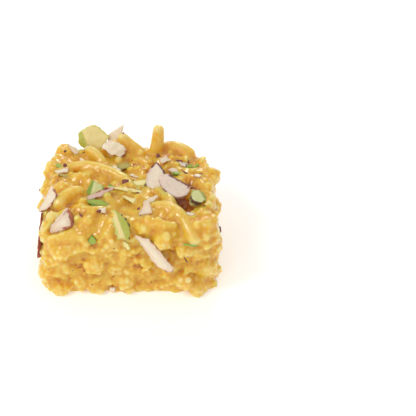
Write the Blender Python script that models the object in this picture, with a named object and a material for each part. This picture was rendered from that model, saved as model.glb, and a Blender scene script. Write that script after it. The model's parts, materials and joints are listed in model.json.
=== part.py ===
"""One piece of burfi: a cut block of swollen gram flour strands bound in milk fudge, with nuts.

Metres, +Z up. The block lies on its flat underside at Z = 0, and the cut face that shows
most looks along -Y. Lengths in the tables below are in millimetres and angles in degrees.
"""

import math
import random

import bmesh
import bpy
import numpy as np
from mathutils import Matrix, Vector, noise
from mathutils.bvhtree import BVHTree

MM = 0.001

# The cut block under the strands.
WIDTH = 48.2
DEPTH = 39.8
HEIGHT = 20.8
SKEW = 3.6  # how much narrower the block is at its rear, all of it on the right
CORNER_RADII = {(-1, -1): 5.0, (1, -1): 5.5, (-1, 1): 7.5, (1, 1): 9.0}
CORNER_STEPS = 5
TOP_RADIUS = 2.4
FOOT = 2.0  # how far the block reaches below the plane that flattens its underside

# The strands that make up the mass.
STRAND_RADIUS = (1.15, 1.6)
GRAIN_RADIUS = (0.9, 1.5)  # the strands' cut ends, in the sides
BEAD_STEP = 0.45  # distance between beads, as a share of the strand's radius
TOP_CELL = 4.3
SIDE_CELL = 3.5
SEED = 41

# The mesh that is left of them.
VOXEL = 0.75
WANDER = 0.26  # depth of the uneven surface
MASS_TRIANGLES = 8800

# The room round each nut that is a piece of its own.
SOCKET_GAP = 0.38
SHARP = 0.75  # a corner whose edges turn by more than this, as a cosine, is blunted
FACE_CLEAR = 5.0  # how far in front of a nut no strand crosses it
PERCH_RADIUS = 2.3
PERCH_EDGE = (23.4, 19.0)  # no lump lies further from the middle than this
EDGE_ROUND = 0.22
SHORTEST = 0.5  # no two corners of an outline are nearer to each other than this

# Strands that can be told apart: the points they pass through, then the radius.
STRANDS = (
    ((-3.4, 17.6, 25.9), (0.4, 17.0, 23.8), (4.2, 14.6, 22.8), 1.4),
    ((4.4, 15.0, 21.0), (6.2, 16.4, 26.0), (7.6, 17.0, 29.6), 1.62),
    ((-20.0, 6.8, 22.4), (-13.5, 11.0, 23.6), (-1.9, 2.9, 22.6), 1.5),
    ((-14.4, -4.6, 23.2), (-18.8, -6.0, 24.2), (-21.6, -15.0, 21.6), 1.7),
    ((7.2, -10.4, 22.0), (13.6, -11.0, 24.6), (18.3, -21.3, 18.6), 1.9),
    ((7.4, -2.9, 22.4), (10.6, -6.0, 23.4), (12.4, -11.4, 22.2), 1.4),
    ((7.6, 17.4, 23.0), (11.5, 20.0, 24.4), (15.6, 16.4, 22.6), 1.9),
    ((-13.8, 15.6, 22.6), (-11.4, 13.8, 23.8), (-8.6, 11.6, 22.4), 1.45),
    ((15.2, 3.6, 22.6), (20.2, 1.6, 24.0), (22.2, -6.4, 22.2), 1.6),
    ((3.4, -16.6, 22.4), (7.8, -19.4, 23.6), (11.6, -18.6, 22.0), 1.6),
    ((-15.0, -11.0, 22.6), (-10.0, -13.6, 23.4), (-5.6, -11.6, 22.4), 1.5),
    ((-16.4, 3.2, 22.6), (-12.6, 0.6, 23.6), (-11.8, 6.6, 22.6), 1.35),
    ((17.6, -14.6, 21.8), (21.6, -12.0, 23.2), (22.6, -17.2, 20.4), 1.6),
)

# Lumps that show in the outline: the centre, then the radius.
LUMPS = (
    ((-20.2, 18.6, 20.8), 2.7),
    ((-23.6, -7.6, 21.0), 2.2),
    ((-23.0, 9.6, 20.6), 2.4),
    ((15.0, -20.2, 15.4), 2.7),
    ((14.8, -20.0, 4.4), 2.8),
    ((8.4, -19.8, 20.6), 2.4),
    ((20.6, -18.6, 7.6), 3.0),
    ((23.2, -15.4, 12.8), 2.6),
    ((-22.8, -17.8, 5.4), 3.2),
    ((-18.6, -19.6, 13.6), 2.6),
    ((-9.6, -19.8, 9.4), 3.0),
    ((-1.4, -19.6, 3.8), 2.9),
    ((-14.0, -19.4, 3.2), 2.8),
    ((3.8, -19.8, 9.8), 2.7),
    ((22.6, 6.4, 20.4), 2.8),
    ((23.0, 8.0, 8.4), 3.0),
    ((-22.8, 6.6, 9.6), 3.0),
    ((-8.0, 19.4, 7.4), 3.0),
    ((10.6, 19.2, 13.6), 2.8),
)

# Nuts that are pieces of their own. Each is a slice of a kernel: a pointed oval of this
# LENGTH and WIDTH, its point turned by SPIN from up the slope towards the left, snapped off
# along straight BREAKS, each the direction (0 is to the right) and distance of its line.
# The face looks towards HEADING (-90 is along -Y), leaning back from lying flat by LEAN.
# TAPER is the far face's size, and the mass is cut away for BARE in front of the face.
NUTS = {
    "pistachio_chunk_back": dict(
        length=11.2, width=8.2, spin=-84, breaks=((178, 4.9),),
        thickness=3.4, taper=0.74, centre=(-12.0, 17.5, 26.0), lean=68, heading=-92,
        material="pistachio"),
    "almond_flake_back": dict(
        length=10.5, width=8.0, spin=180, breaks=((130, 0.9), (-12, 2.1), (202, 3.2), (60, 2.9)),
        thickness=1.2, taper=0.9, centre=(-4.5, 19.5, 26.0), lean=66, heading=-75,
        material="almond"),
    "almond_chunk_back": dict(
        length=7.2, width=6.8, spin=60, breaks=((47, 2.0), (-10, 3.1), (175, 3.0)),
        thickness=2.8, taper=0.78, centre=(-5.4, 13.2, 25.0), lean=62, heading=-80,
        material="almond"),
    "almond_flake_left": dict(
        length=9.4, width=4.6, spin=4, breaks=((167, 1.8), (-52, 2.1)),
        thickness=1.3, taper=0.9, centre=(-22.6, -9.4, 23.4), lean=45, heading=-120,
        material="almond"),
    "almond_slice_side": dict(
        length=13.4, width=5.6, spin=25, breaks=(),
        thickness=1.0, taper=0.92, centre=(-25.4, -12.2, 13.6), lean=84, heading=178,
        material="almond_skin"),
    "almond_chunk_corner": dict(
        length=16.0, width=12.0, spin=20,
        breaks=((145, 2.2), (165, 2.7), (-65, 2.2), (0, 3.2), (35, 3.1)),
        thickness=3.6, taper=0.8, centre=(-18.7, -16.6, 21.3), lean=60, heading=-108,
        bare=4.0, material="almond"),
    "pistachio_chunk_middle": dict(
        length=6.4, width=4.8, spin=80, breaks=((60, 2.0), (-75, 2.1)),
        thickness=2.4, taper=0.8, centre=(-9.4, -4.0, 24.1), lean=35, heading=-90,
        bare=2.0, material="pistachio"),
    "pistachio_sliver_middle": dict(
        length=6.4, width=2.4, spin=-88, breaks=((80, 1.0),),
        thickness=1.5, taper=0.85, centre=(-8.8, -10.1, 23.4), lean=32, heading=-90,
        material="pistachio"),
    "almond_flake_upright": dict(
        length=10.0, width=5.5, spin=-8, breaks=((-18, 1.9), (76, 4.3)),
        thickness=1.6, taper=0.92, centre=(7.2, 1.2, 24.5), lean=25, heading=-92,
        material="almond"),
    "almond_flake_lying": dict(
        length=10.0, width=5.5, spin=52, breaks=((-125, 2.5),),
        thickness=1.5, taper=0.92, centre=(12.1, -3.9, 25.2), lean=20, heading=-88,
        material="almond"),
    "almond_sliver_front": dict(
        length=14.5, width=7.0, spin=36,
        breaks=((37, 1.8), (210, 1.7), (262, 4.6), (100, 5.4)),
        thickness=2.2, taper=0.75, centre=(6.8, -22.4, 14.9), lean=78, heading=-90,
        material="almond"),
    "pistachio_sliver_front": dict(
        length=8.2, width=3.3, spin=22, breaks=((-160, 1.4),),
        thickness=1.6, taper=0.85, centre=(-2.7, -19.7, 22.9), lean=50, heading=-85,
        material="pistachio"),
    "almond_sliver_middle": dict(
        length=9.0, width=2.0, spin=-75, breaks=(),
        thickness=1.2, taper=0.85, centre=(-8.3, -6.8, 25.2), lean=40, heading=-70,
        material="almond_skin"),
    "almond_flake_right": dict(
        length=10.6, width=6.8, spin=15, breaks=((200, 2.8),),
        thickness=1.4, taper=0.92, centre=(24.5, -3.4, 12.6), lean=84, heading=5,
        material="almond"),
    "pistachio_chunk_right": dict(
        length=6.8, width=5.4, spin=70, breaks=((40, 2.3),),
        thickness=2.6, taper=0.78, centre=(19.6, -7.6, 24.0), lean=22, heading=-20,
        material="pistachio"),
    "almond_sliver_rear": dict(
        length=11.0, width=3.4, spin=70, breaks=((160, 1.2),),
        thickness=1.6, taper=0.85, centre=(2.0, 21.4, 12.4), lean=84, heading=88,
        material="almond"),
}

# Small chips pressed into the mass, each dropped on it from the side named first: its
# place across that side, its length, width and spin, then its lean and heading.
CHIPS = (
    ("top", (-16.6, 15.8), 6.8, 1.5, 33, 50, -60),
    ("top", (-20.0, 5.6), 4.2, 2.0, 88, 30, -90),
    ("top", (-19.4, 3.6), 2.9, 1.5, 80, 25, -90),
    ("top", (-0.6, -3.4), 11.2, 1.4, 81, 22, -90),
    ("top", (2.5, -0.6), 5.0, 3.9, 70, 12, -90),
    ("top", (-2.2, 8.4), 3.8, 2.6, 85, 28, -90),
    ("top", (0.2, 13.4), 2.4, 1.8, 10, 45, -90),
    ("front", (-9.9, 18.6), 2.8, 2.4, 45, 78, -92),
    ("top", (14.6, 9.6), 3.9, 3.5, 20, 35, -100),
    ("top", (12.3, 6.8), 3.7, 2.5, 85, 28, -90),
    ("top", (9.2, 10.6), 3.2, 2.6, 60, 45, -95),
    ("top", (4.8, -13.4), 4.6, 3.0, 75, 38, -95),
    ("top", (5.7, -8.4), 4.8, 1.6, -65, 42, -80),
    ("top", (0.6, -7.8), 6.0, 1.4, 68, 25, -90),
    ("top", (-1.7, 0.2), 2.1, 1.7, 0, 32, -90),
    ("front", (-6.9, 21.2), 2.4, 1.9, 80, 64, -90),
    ("front", (-4.7, 1.9), 2.2, 2.0, 0, 76, -90),
)
CHIP_THICKNESS = 1.2
CHIP_ROOT = 0.5  # how much longer a chip is below, so that it is fused to the mass
CHIP_TAPER = 0.85
CHIP_GAP = 1.2
NUT_CORNERS = 14
CHIP_CORNERS = 7
KERNEL_POINT = 0.22  # how much narrower a kernel is towards its point

# The sides of the block: the outward direction, and the plane that a place is given in.
SIDES = {
    "top": (Vector((0, 0, 1)), Vector((1, 0, 0)), Vector((0, 1, 0))),
    "front": (Vector((0, -1, 0)), Vector((1, 0, 0)), Vector((0, 0, 1))),
    "rear": (Vector((0, 1, 0)), Vector((1, 0, 0)), Vector((0, 0, 1))),
    "left": (Vector((-1, 0, 0)), Vector((0, 1, 0)), Vector((0, 0, 1))),
    "right": (Vector((1, 0, 0)), Vector((0, 1, 0)), Vector((0, 0, 1))),
}

# Where further chips lie, on the sides that turn away: the side, the area, and how many.
SPREADS = (
    ("top", (14.0, 22.0), (-16.0, 12.0), 5),
    ("top", (-22.0, -6.0), (-1.0, 14.0), 3),
    ("rear", (-20.0, 18.0), (4.0, 20.0), 7),
    ("right", (-17.0, 12.0), (4.0, 20.0), 6),
    ("left", (-6.0, 14.0), (4.0, 20.0), 4),
)

COLOURS = {
    "fudge": ((0.74, 0.42, 0.085), 0.38),
    "almond": ((0.80, 0.62, 0.42), 0.5),
    "almond_skin": ((0.34, 0.12, 0.05), 0.55),
    "pistachio": ((0.36, 0.38, 0.10), 0.45),
}


def clear_scene():
    for found in list(bpy.data.objects):
        bpy.data.objects.remove(found)


def give_material(target, substance):
    colour, roughness = COLOURS[substance]
    made = bpy.data.materials.new(f"{substance} of {target.name}")
    made.use_nodes = True
    shader = made.node_tree.nodes["Principled BSDF"]
    shader.inputs["Base Color"].default_value = (*colour, 1.0)
    shader.inputs["Roughness"].default_value = roughness
    shader.inputs["Metallic"].default_value = 0.0
    target.data.materials.clear()
    target.data.materials.append(made)


def new_object(name, shape):
    mesh = bpy.data.meshes.new(name)
    shape.to_mesh(mesh)
    shape.free()
    made = bpy.data.objects.new(name, mesh)
    bpy.context.scene.collection.objects.link(made)
    return made


def apply_modifiers(target):
    """The target's mesh with its modifiers made part of it."""
    graph = bpy.context.evaluated_depsgraph_get()
    mesh = bpy.data.meshes.new_from_object(target.evaluated_get(graph))
    target.modifiers.clear()
    target.data = mesh


def facing(lean, heading):
    """Turns a face that looks up until it looks towards the heading, leaning by lean."""
    turn = Matrix.Rotation(math.radians(heading + 90), 4, "Z")
    return turn @ Matrix.Rotation(math.radians(lean), 4, "X")


def out_of(nut):
    """The direction in which a nut's face looks."""
    return facing(nut["lean"], nut["heading"]).to_3x3() @ Vector((0, 0, 1))


def place(target, centre, lean, heading):
    target.matrix_world = Matrix.Translation(Vector(centre) * MM) @ facing(lean, heading)


def unit_ball():
    """The points and triangles of one ball, which every bead repeats."""
    ball = bmesh.new()
    bmesh.ops.create_icosphere(ball, subdivisions=2, radius=1)
    points = np.array([vertex.co for vertex in ball.verts])
    faces = np.array([[vertex.index for vertex in face.verts] for face in ball.faces])
    ball.free()
    return points, faces


def bead_mesh(beads):
    """One mesh of all the beads, each a centre and a radius."""
    points, faces = unit_ball()
    centres = np.array([centre for centre, radius in beads])[:, None, :]
    radii = np.array([radius for centre, radius in beads])[:, None, None]
    starts = np.arange(len(beads))[:, None, None] * len(points)
    mesh = bpy.data.meshes.new("beads")
    corners = ((centres + radii * points) * MM).reshape(-1, 3)
    mesh.from_pydata(corners, [], (faces + starts).reshape(-1, 3))
    return mesh


def strand_beads(start, middle, end, radius):
    """Beads along the curve that starts and ends at two points and bends towards the third."""
    start, middle, end = Vector(start), Vector(middle), Vector(end)
    length = (middle - start).length + (end - middle).length
    steps = max(2, round(length / (radius * BEAD_STEP)))
    for i in range(steps + 1):
        t = i / steps
        point = start * (1 - t) ** 2 + middle * 2 * t * (1 - t) + end * t**2
        swell = 0.9 + 0.1 * math.sin(math.pi * t)
        yield point, radius * swell


def covers_nut(point, radius):
    """Whether a bead would lie on the face of a nut."""
    for nut in NUTS.values():
        out = out_of(nut)
        away = point - Vector(nut["centre"])
        above = away.dot(out)
        across = (away - out * above).length
        if -radius < above < FACE_CLEAR and across < 0.8 * reach_of(nut) + radius:
            return True
    return False


def add_block(shape):
    """The rounded block that fills the mass, reaching below the underside's plane."""
    size = Vector((WIDTH, DEPTH, HEIGHT + FOOT)) * MM
    at = Matrix.Translation(Vector((0, 0, (HEIGHT - FOOT) / 2)) * MM)
    bmesh.ops.create_cube(shape, size=1, matrix=at @ Matrix.Diagonal((*size, 1)))
    for vertex in shape.verts:
        if vertex.co.x > 0 and vertex.co.y > 0:
            vertex.co.x -= SKEW * MM
    for (right, back), radius in CORNER_RADII.items():
        upright = [edge for edge in shape.edges
                   if abs(edge.verts[0].co.z - edge.verts[1].co.z) > MM
                   and all(v.co.x * right > 0 and v.co.y * back > 0 for v in edge.verts)]
        bmesh.ops.bevel(shape, geom=upright, offset=radius * MM, segments=CORNER_STEPS,
                        affect="EDGES", profile=0.5)
    highest = (HEIGHT - 0.01) * MM
    rim = [e for e in shape.edges
           if all(v.co.z > highest for v in e.verts) and len(e.link_faces) == 2
           and any(abs(f.normal.z) < 0.5 for f in e.link_faces)]
    bmesh.ops.bevel(shape, geom=rim, offset=TOP_RADIUS * MM, segments=3,
                    affect="EDGES", profile=0.5)


def shy_strand(points, radius):
    """The beads of a strand that leaves the faces of the nuts clear."""
    return [(point, size) for point, size in strand_beads(*points, radius)
            if not covers_nut(point, size)]


def bend(middle, along, length, rng):
    """Two ends and a middle that is off the line between them."""
    off = Vector((rng.uniform(-1, 1), rng.uniform(-1, 1), rng.uniform(-1, 1)))
    half = along.normalized() * length / 2
    return middle - half, middle + off * length * 0.22, middle + half


def top_strands(block, rng):
    beads = []
    columns, rows = round(WIDTH / TOP_CELL), round(DEPTH / TOP_CELL)
    for i in range(columns):
        for j in range(rows):
            x = ((i + rng.uniform(0.1, 0.9)) / columns - 0.5) * (WIDTH - 2)
            y = ((j + rng.uniform(0.1, 0.9)) / rows - 0.5) * (DEPTH - 2)
            turn = rng.uniform(0, math.pi)
            along = Vector((math.cos(turn), math.sin(turn), rng.uniform(-0.2, 0.2)))
            length, lift = rng.uniform(4, 11), rng.uniform(-0.5, 0.9)
            radius = rng.uniform(*STRAND_RADIUS)
            ends = bend(Vector((x, y, HEIGHT + lift)), along, length, rng)
            beads += [bead for bead in shy_strand(ends, radius) if over(block, bead[0])]
    return beads


def over(block, point):
    """Whether a point has the block's top, and not the edge of it, straight below."""
    hit = block.ray_cast(Vector((point.x, point.y, 60)) * MM, Vector((0, 0, -1)))[0]
    return hit is not None and hit.z > (HEIGHT - 0.6 * TOP_RADIUS) * MM


def around(share):
    """The point of the rectangle round the block that is this share of the way round it."""
    walk = share * 2 * (WIDTH + DEPTH)
    if walk < WIDTH:
        return Vector((walk - WIDTH / 2, -DEPTH / 2, 0))
    walk -= WIDTH
    if walk < DEPTH:
        return Vector((WIDTH / 2, walk - DEPTH / 2, 0))
    walk -= DEPTH
    if walk < WIDTH:
        return Vector((WIDTH / 2 - walk, DEPTH / 2, 0))
    return Vector((-WIDTH / 2, DEPTH / 2 - (walk - WIDTH), 0))


def side_strands(block, rng):
    """Short ends of strands, which the knife left in the block's sides."""
    beads = []
    columns, rows = round(2 * (WIDTH + DEPTH) / SIDE_CELL), round(HEIGHT / SIDE_CELL)
    for i in range(columns):
        for j in range(rows):
            start = around((i + rng.uniform(0.1, 0.9)) / columns)
            inwards = -start.normalized()
            start.z = (j + rng.uniform(0.1, 0.9)) / rows * (HEIGHT - 1)
            point, normal = block.ray_cast((start - inwards * 9) * MM, inwards)[:2]
            point = point / MM - normal * rng.uniform(-0.6, 0.6)
            turn = rng.uniform(0, math.pi)
            sideways = Vector((-normal.y, normal.x, 0))
            along = sideways * math.cos(turn) + Vector((0, 0, 1)) * math.sin(turn)
            along += normal * rng.uniform(-0.35, 0.35)
            points = bend(point, along, rng.uniform(0.8, 4.5), rng)
            beads += shy_strand(points, rng.uniform(*GRAIN_RADIUS))
    return beads


def perches():
    """A lump behind each nut that leans on the mass, so that it doesn't hang clear of it."""
    beads = []
    for nut in NUTS.values():
        depth = nut["thickness"] + 0.6 * PERCH_RADIUS
        back = Vector(nut["centre"]) - out_of(nut) * depth
        if abs(back.x) < PERCH_EDGE[0] and abs(back.y) < PERCH_EDGE[1]:
            beads.append((back, PERCH_RADIUS))
    return beads


def roughen(target, rng):
    """Uneven skin: every vertex moves along its normal by smooth noise."""
    shift = Vector((rng.uniform(0, 9), rng.uniform(0, 9), rng.uniform(0, 9)))
    normals = [normal.vector.copy() for normal in target.data.vertex_normals]
    for vertex, normal in zip(target.data.vertices, normals):
        at = vertex.co / MM
        depth = noise.noise(at / 2.6 + shift) * WANDER
        depth += noise.noise(at / 1.1 + shift) * WANDER * 0.4
        vertex.co += normal * depth * MM


def flatten_underside(target):
    """Cuts the mass off at Z = 0 and closes it with one flat face."""
    shape = bmesh.new()
    shape.from_mesh(target.data)
    every = shape.verts[:] + shape.edges[:] + shape.faces[:]
    cut = bmesh.ops.bisect_plane(shape, geom=every, dist=1e-7, plane_co=(0, 0, 0),
                                 plane_no=(0, 0, 1), clear_inner=True)
    rim = [item for item in cut["geom_cut"] if isinstance(item, bmesh.types.BMEdge)]
    bmesh.ops.holes_fill(shape, edges=rim, sides=0)
    bmesh.ops.triangulate(shape, faces=shape.faces[:])
    bmesh.ops.recalc_face_normals(shape, faces=shape.faces[:])
    shape.to_mesh(target.data)
    shape.free()


def keep_largest(target):
    """Drops scraps and hollows that aren't joined to the largest shell."""
    shape = bmesh.new()
    shape.from_mesh(target.data)
    left, shells = set(shape.verts), []
    while left:
        shell, edge = set(), {left.pop()}
        while edge:
            shell |= edge
            near = {e.other_vert(v) for v in edge for e in v.link_edges}
            edge = near - shell
        left -= shell
        shells.append(shell)
    largest = max(shells, key=len)
    scraps = [vertex for vertex in shape.verts if vertex not in largest]
    bmesh.ops.delete(shape, geom=scraps, context="VERTS")
    shape.to_mesh(target.data)
    shape.free()


def build_mass(rng):
    shape = bmesh.new()
    add_block(shape)
    block = BVHTree.FromBMesh(shape)
    beads = top_strands(block, rng) + side_strands(block, rng) + perches()
    for *points, radius in STRANDS:
        beads += strand_beads(*points, radius)
    beads += LUMPS
    shape.from_mesh(bead_mesh(beads))
    mass = new_object("burfi_block", shape)
    skin = mass.modifiers.new("one skin", "REMESH")
    skin.mode = "VOXEL"
    skin.voxel_size = VOXEL * MM
    apply_modifiers(mass)
    roughen(mass, rng)
    thin = mass.modifiers.new("fewer faces", "DECIMATE")
    thin.ratio = MASS_TRIANGLES / (2 * len(mass.data.polygons))
    apply_modifiers(mass)
    flatten_underside(mass)
    keep_largest(mass)
    return mass


def snapped(outline, turn, distance):
    """A convex outline cut off along a line this far from its centre, in this direction."""
    out = Vector((math.cos(math.radians(turn)), math.sin(math.radians(turn))))
    kept = []
    for here, after in zip(outline, outline[1:] + outline[:1]):
        inside, next_inside = here.dot(out) - distance, after.dot(out) - distance
        if inside <= 0:
            kept.append(here)
        if inside * next_inside < 0:
            kept.append(here.lerp(after, inside / (inside - next_inside)))
    return kept


def kernel_outline(length, width, spin, breaks, corners):
    """A kernel's pointed oval, turned by spin, less what was snapped off."""
    outline = []
    for i in range(corners):
        turn = 2 * math.pi * (i + 0.5) / corners
        half = width / 2 * (1 - KERNEL_POINT * math.cos(turn))
        outline.append(Vector((-half * math.sin(turn), length / 2 * math.cos(turn))))
    spun = Matrix.Rotation(math.radians(spin), 2)
    outline = [spun @ corner for corner in outline]
    for turn, distance in breaks:
        outline = snapped(outline, turn, distance)
    return [corner for corner, after in zip(outline, outline[1:] + outline[:1])
            if (after - corner).length > SHORTEST]


def outline_of(nut):
    return kernel_outline(nut["length"], nut["width"], nut["spin"], nut["breaks"], NUT_CORNERS)


def reach_of(nut):
    """How far a nut reaches from the centre of its face."""
    return max(corner.length for corner in outline_of(nut))


def outwards(start, end):
    """The direction out of an outline across one of its edges."""
    along = end - start
    return Vector((along.y, -along.x)).normalized()


def grown(outline, gap):
    """The outline with every edge moved outwards, and its sharp corners blunted."""
    made = []
    for before, here, after in zip(outline[-1:] + outline, outline, outline[1:] + outline[:1]):
        first, second = outwards(before, here), outwards(here, after)
        between = (first + second).normalized()
        if between.dot(first) > SHARP:
            made.append(here + between * gap / between.dot(first))
        else:
            made += [here + first * gap, here + between * gap, here + second * gap]
    return made


def slice_shape(near, far, front, back):
    """A slice between two outlines: the near one, which looks up, and the far one."""
    shape = bmesh.new()
    near = [shape.verts.new(Vector((*corner, front)) * MM) for corner in near]
    far = [shape.verts.new(Vector((*corner, -back)) * MM) for corner in far]
    shape.faces.new(near)
    shape.faces.new(far[::-1])
    for i in range(len(near)):
        shape.faces.new((near[i - 1], far[i - 1], far[i], near[i]))
    bmesh.ops.recalc_face_normals(shape, faces=shape.faces[:])
    return shape


def tapered(outline, taper):
    middle = sum(outline, Vector((0, 0))) / len(outline)
    return [middle + (corner - middle) * taper for corner in outline]


def add_nut(name, nut):
    near = outline_of(nut)
    shape = slice_shape(near, tapered(near, nut["taper"]), 0, nut["thickness"])
    bmesh.ops.bevel(shape, geom=shape.edges[:], offset=EDGE_ROUND * MM, segments=1,
                    affect="EDGES", profile=0.5)
    made = new_object(name, shape)
    place(made, nut["centre"], nut["lean"], nut["heading"])
    give_material(made, nut["material"])


def socket(nut):
    """What is cut from the mass for a nut: the nut grown all round, and further outwards."""
    front, back = nut.get("bare", 0) + SOCKET_GAP, nut["thickness"] + SOCKET_GAP
    flare = 1 + (1 - nut["taper"]) * front / nut["thickness"]
    near = grown(tapered(outline_of(nut), flare), SOCKET_GAP)
    far = grown(tapered(outline_of(nut), nut["taper"]), SOCKET_GAP)
    shape = slice_shape(near, far, front, back)
    bmesh.ops.triangulate(shape, faces=shape.faces[:])
    made = new_object("socket", shape)
    place(made, nut["centre"], nut["lean"], nut["heading"])
    return made


def surface_of(target):
    return BVHTree.FromObject(target, bpy.context.evaluated_depsgraph_get())


def dropped(surface, side, at):
    """Where a chip pushed in from one side meets the mass."""
    out, across, up = SIDES[side]
    start = (out * 60 + across * at[0] + up * at[1]) * MM
    return surface.ray_cast(start, -out)[0] / MM


def chip(surface, side, at, length, width, spin, lean, heading):
    """A chip sunk into the mass by a little over half its thickness."""
    near = kernel_outline(length, width, spin, (), CHIP_CORNERS)
    shape = slice_shape(near, tapered(near, CHIP_TAPER), 0, CHIP_THICKNESS + CHIP_ROOT)
    bmesh.ops.triangulate(shape, faces=shape.faces[:])
    made = new_object("chip", shape)
    lift = facing(lean, heading).to_3x3() @ Vector((0, 0, CHIP_THICKNESS * 0.45))
    place(made, dropped(surface, side, at) + lift, lean, heading)
    return made


def spread_chips(surface, rng):
    """Chips on the sides that turn away, clear of the larger nuts."""
    made = []
    for side, across, up, count in SPREADS:
        out = SIDES[side][0]
        while count:
            at = (rng.uniform(*across), rng.uniform(*up))
            length, width, spin = rng.uniform(2.2, 4.6), rng.uniform(1.4, 2.2), rng.uniform(0, 180)
            lean = rng.uniform(5, 25) if side == "top" else rng.uniform(68, 88)
            heading = math.degrees(math.atan2(out.y, out.x)) + rng.uniform(-20, 20)
            if clear_of_nuts(dropped(surface, side, at), length / 2 + CHIP_GAP):
                made.append(chip(surface, side, at, length, width, spin, lean, heading))
                count -= 1
    return made


def clear_of_nuts(point, margin):
    for nut in NUTS.values():
        if (point - Vector(nut["centre"])).length < reach_of(nut) + margin:
            return False
    return True


def combine(mass, others, operation):
    """One Boolean with a group of helpers, which are removed after it."""
    group = bpy.data.collections.new("helpers")
    bpy.context.scene.collection.children.link(group)
    for other in others:
        group.objects.link(other)
    step = mass.modifiers.new(operation.lower(), "BOOLEAN")
    step.operation = operation
    step.operand_type = "COLLECTION"
    step.collection = group
    step.solver = "EXACT"
    apply_modifiers(mass)
    for other in others:
        bpy.data.objects.remove(other)
    bpy.data.collections.remove(group)


def build():
    rng = random.Random(SEED)
    mass = build_mass(rng)
    surface = surface_of(mass)
    chips = [chip(surface, *entry) for entry in CHIPS]
    chips += spread_chips(surface, rng)
    combine(mass, chips, "UNION")
    combine(mass, [socket(nut) for nut in NUTS.values()], "DIFFERENCE")
    keep_largest(mass)
    give_material(mass, "fudge")
    mass.data.shade_smooth()
    for name, nut in NUTS.items():
        add_nut(name, nut)


clear_scene()
build()
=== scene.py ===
"""A cut piece of burfi: strands of fried gram flour bound in cooked milk and sugar, with nuts."""

import json
import math
import random
from contextlib import contextmanager

import bpy
import numpy as np
from mathutils import Matrix, Vector, noise
from mathutils.bvhtree import BVHTree
from mathutils.kdtree import KDTree

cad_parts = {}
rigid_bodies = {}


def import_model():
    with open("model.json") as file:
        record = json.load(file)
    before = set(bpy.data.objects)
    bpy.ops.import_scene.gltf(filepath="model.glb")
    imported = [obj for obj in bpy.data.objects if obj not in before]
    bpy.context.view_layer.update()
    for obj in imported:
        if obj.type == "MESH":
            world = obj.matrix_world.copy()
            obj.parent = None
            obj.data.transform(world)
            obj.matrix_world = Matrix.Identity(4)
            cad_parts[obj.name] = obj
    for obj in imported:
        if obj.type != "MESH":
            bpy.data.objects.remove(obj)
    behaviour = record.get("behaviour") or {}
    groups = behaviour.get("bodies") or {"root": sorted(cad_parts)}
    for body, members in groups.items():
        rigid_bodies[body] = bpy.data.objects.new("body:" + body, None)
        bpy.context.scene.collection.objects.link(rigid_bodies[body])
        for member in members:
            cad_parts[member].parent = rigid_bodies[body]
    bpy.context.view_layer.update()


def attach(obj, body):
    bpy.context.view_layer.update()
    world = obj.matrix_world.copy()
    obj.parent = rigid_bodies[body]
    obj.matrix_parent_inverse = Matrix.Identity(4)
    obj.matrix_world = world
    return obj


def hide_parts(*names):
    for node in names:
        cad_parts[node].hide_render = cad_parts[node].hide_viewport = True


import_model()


# The view: a close photograph from a little above, taken from well away through a long lens.
# The camera looks past the right of the piece, which stands left of the middle.

MM = 0.001  # lengths below are in millimetres, and Blender's unit is the metre
LOOKS_AT = Vector((21.7, 0.0, 14.0)) * MM
LOOKS_DOWN = math.radians(37)
AWAY = 420
FOCAL_LENGTH = 127.2
SENSOR_WIDTH = 36

camera = bpy.data.objects.new("camera", bpy.data.cameras.new("camera"))
camera.data.lens = FOCAL_LENGTH
camera.data.sensor_width = SENSOR_WIDTH
camera.data.clip_start = 10 * MM
back = Vector((0, -math.cos(LOOKS_DOWN), math.sin(LOOKS_DOWN)))
camera.location = LOOKS_AT + back * (AWAY * MM)
camera.rotation_euler = (math.radians(90) - LOOKS_DOWN, 0, 0)
bpy.context.scene.collection.objects.link(camera)
bpy.context.scene.camera = camera


# The light: three softboxes, at the left, in front and behind, in a white room. They are small
# and bright, so that the wet syrup sparkles, and the room fills the shadows.

LIT_POINT = Vector((0, 0, 10)) * MM
ROOM_BRIGHTNESS = 0.58


def softbox(name, place, size, watts, colour):
    """A square lamp that looks at the piece."""
    lamp = bpy.data.objects.new(name, bpy.data.lights.new(name, "AREA"))
    lamp.data.size = size * MM
    lamp.data.energy = watts
    lamp.data.color = colour
    lamp.location = Vector(place) * MM
    lamp.rotation_euler = (LIT_POINT - lamp.location).to_track_quat("-Z", "Y").to_euler()
    bpy.context.scene.collection.objects.link(lamp)


softbox("key softbox", (-160, -100, 280), 80, 0.28, (1.0, 0.98, 0.95))
softbox("front softbox", (-120, -340, 280), 140, 0.17, (1.0, 0.98, 0.96))
softbox("back softbox", (50, 340, 300), 120, 0.40, (1.0, 1.0, 1.0))

room = bpy.data.worlds.new("white room")
room.use_nodes = True
walls = room.node_tree.nodes["Background"]
walls.inputs["Color"].default_value = (1.0, 0.99, 0.97, 1)
walls.inputs["Strength"].default_value = ROOM_BRIGHTNESS
bpy.context.scene.world = room
bpy.context.scene.view_settings.view_transform = "Standard"


# The floor: a sheet of white paper. Uncoated paper is matt, with hardly a trace of gloss. It
# glows a little, as the photograph is exposed until the paper is washed out.

SHEET = 3000


def linear(code):
    """The linear colour of an sRGB hex code such as "#F0C850"."""
    parts = [int(code[i:i + 2], 16) / 255 for i in (1, 3, 5)]
    return [p / 12.92 if p <= 0.04045 else ((p + 0.055) / 1.055) ** 2.4 for p in parts] + [1.0]


def new_material(name, values):
    """A material whose shader has these values: the material, its tree and the shader."""
    made = bpy.data.materials.new(name)
    made.use_nodes = True
    shader = made.node_tree.nodes["Principled BSDF"]
    for key, value in values.items():
        shader.inputs[key].default_value = value
    return made, made.node_tree, shader


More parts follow.
